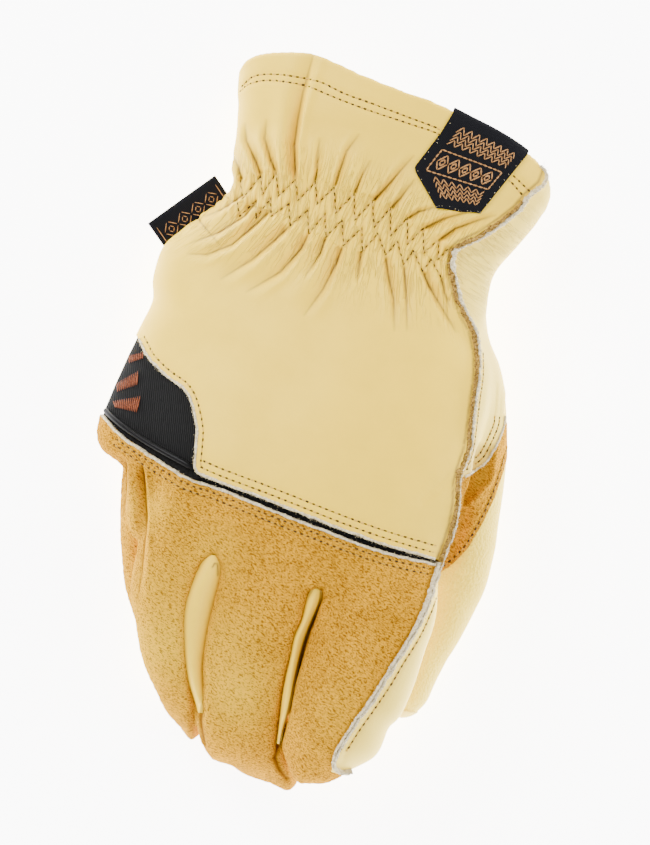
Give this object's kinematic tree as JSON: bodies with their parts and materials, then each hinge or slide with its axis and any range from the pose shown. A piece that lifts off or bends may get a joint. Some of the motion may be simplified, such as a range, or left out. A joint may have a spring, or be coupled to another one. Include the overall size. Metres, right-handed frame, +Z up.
{
  "type": "work glove",
  "caption": "Insulated right-hand driver glove of cream grain leather with suede finger backs, a black side insert and an elastic gathered wrist.",
  "frame": {"origin": "centre of the bounding box, on the surface that the glove lies on", "axes": "the fingers point along -Y and the cuff opens along +Y, the thumb is on the +X side, and +Z points up from the surface to the back of the hand"},
  "size_m": [0.1385, 0.2362, 0.0549],
  "materials": {
    "cream_leather": "smooth grain, satin",
    "pale_leather": "smooth grain, satin",
    "pebbled_leather": "fine pebbled grain, satin",
    "golden_suede": "brushed suede, matt",
    "ribbed_fabric": "fine ribbed weave, matt",
    "stripe_felt": "fuzzy, matt",
    "piping": "glossy coated cord",
    "raw_edge": "cut edge, fuzzy",
    "label_fabric": "woven label, matt"
  },
  "bodies": {
    "root": {"back_panel": "cream_leather", "palm_panel": "cream_leather", "index_side_panel": "pale_leather", "fourchette_middle_index": "cream_leather", "fourchette_ring_middle": "cream_leather", "fourchette_little_ring": "cream_leather", "thumb": "pebbled_leather", "finger_back_panel": "golden_suede", "thumb_patch": "golden_suede", "side_insert": "ribbed_fabric", "knuckle_stripe": "stripe_felt", "piping": "piping", "seam_welt": "raw_edge", "hex_label": "label_fabric", "flag_label": "label_fabric"}
  },
  "joints": []
}
